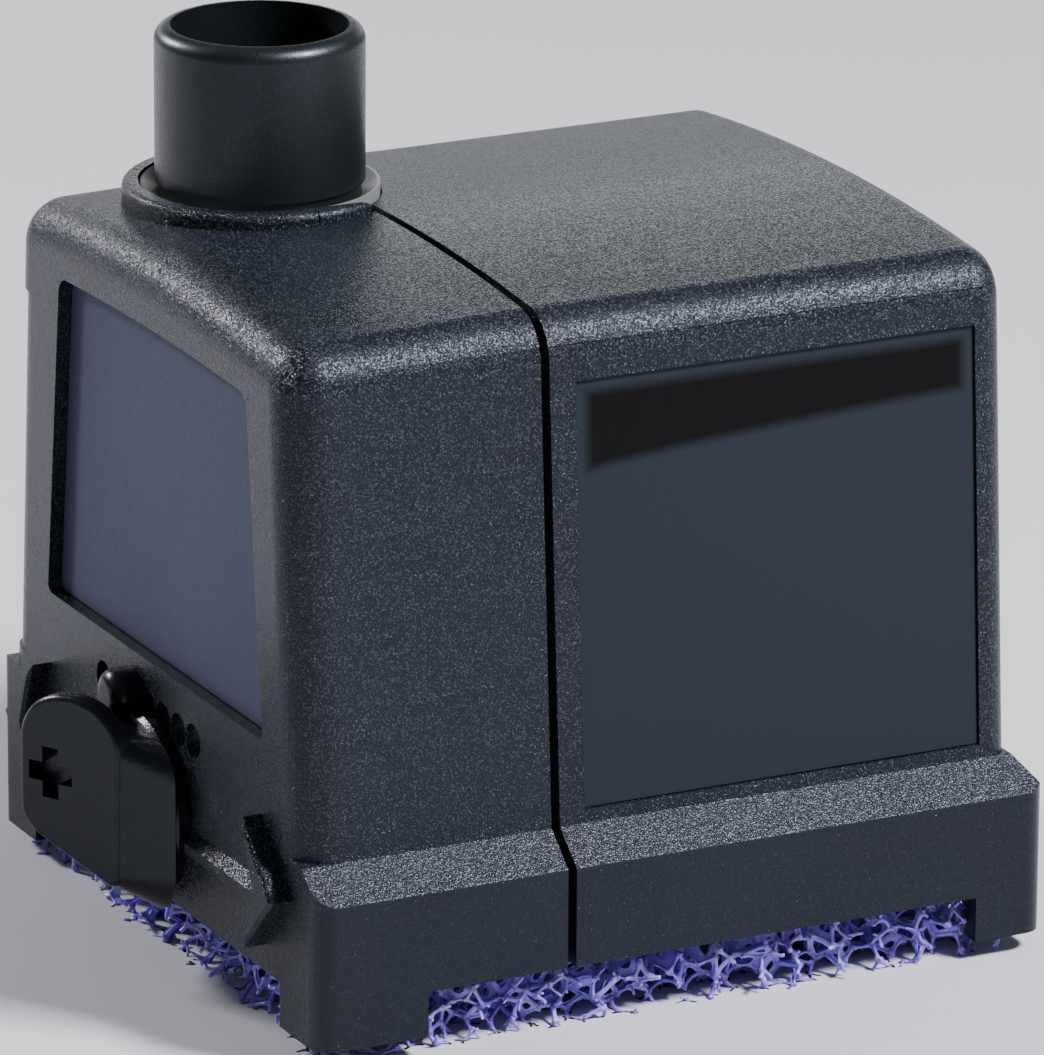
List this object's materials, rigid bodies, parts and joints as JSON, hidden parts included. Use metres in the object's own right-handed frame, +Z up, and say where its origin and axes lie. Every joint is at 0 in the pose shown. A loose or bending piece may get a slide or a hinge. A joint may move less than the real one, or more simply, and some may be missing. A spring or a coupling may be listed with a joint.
{
  "type": "fountain submersible pump",
  "caption": "Small box-shaped submersible fountain pump with an upright outlet stub, a turning flow regulator and a foam filter in its base.",
  "frame": {"origin": "on the underside of the filter foam, under the middle of the plinth", "axes": "+Z up, front face with the flow regulator towards -Y, outlet stub on the -X side"},
  "size_m": [0.0738, 0.0919, 0.0862],
  "materials": {
    "shell_plastic": "fine spark-eroded grain",
    "side_panel": "smooth satin",
    "front_panel": "smooth satin",
    "foam": "open-cell reticulated foam",
    "inner_plastic": "moulded",
    "rubber": "matt",
    "grommet": "smooth satin",
    "screw_steel": "plain",
    "stub_plastic": "smooth satin",
    "lamination": "laminated, varnished",
    "bobbin": "natural",
    "copper": "enamelled",
    "fuse_metal": "plain",
    "resin": "cast",
    "ceramic": "ground",
    "magnet": "sintered ferrite",
    "impeller_plastic": "moulded",
    "gland_plastic": "moulded",
    "knob_plastic": "satin"
  },
  "bodies": {
    "pump_body": {"rear_shell": "shell_plastic", "side_label": "side_panel", "filter_foam": "foam", "foam_grid": "inner_plastic", "pump_chamber": "inner_plastic", "chamber_cover": "inner_plastic", "chamber_o_ring": "rubber", "stub_o_ring": "rubber", "outlet_grommet": "grommet", "chamber_screws": "screw_steel", "outlet_stub": "stub_plastic", "motor_housing": "inner_plastic", "stator_core": "lamination", "coil_bobbins": "bobbin", "coil_windings": "copper", "thermal_fuse": "fuse_metal", "splice_sleeves": "fuse_metal", "potting_resin": "resin", "rubber_pads": "rubber", "rotor_shaft": "ceramic", "front_shaft_seat": "rubber", "rear_shaft_seat": "rubber", "thrust_washers": "ceramic", "cable_gland": "gland_plastic"},
    "front_cover": {"front_shell": "shell_plastic", "front_label": "front_panel"},
    "regulator": {"regulator_knob": "knob_plastic", "regulator_clip": "screw_steel", "regulator_shutter": "inner_plastic"},
    "rotor": {"rotor_magnet": "magnet", "rotor_bushes": "bobbin", "impeller": "impeller_plastic"}
  },
  "joints": [
    {"name": "cover_pull", "type": "slide", "parent": "pump_body", "child": "front_cover", "axis": [0, -1, 0], "range_m": [0, 0.045]},
    {"name": "regulator_turn", "type": "hinge", "parent": "front_cover", "child": "regulator", "pos_m": [0, -0.0385, 0.0154], "axis": [0, 1, 0], "range_deg": [-12, 84]},
    {"name": "rotor_spin", "type": "hinge", "parent": "pump_body", "child": "rotor", "pos_m": [-0.005, 0, 0.04], "axis": [0, 1, 0], "continuous": true}
  ]
}
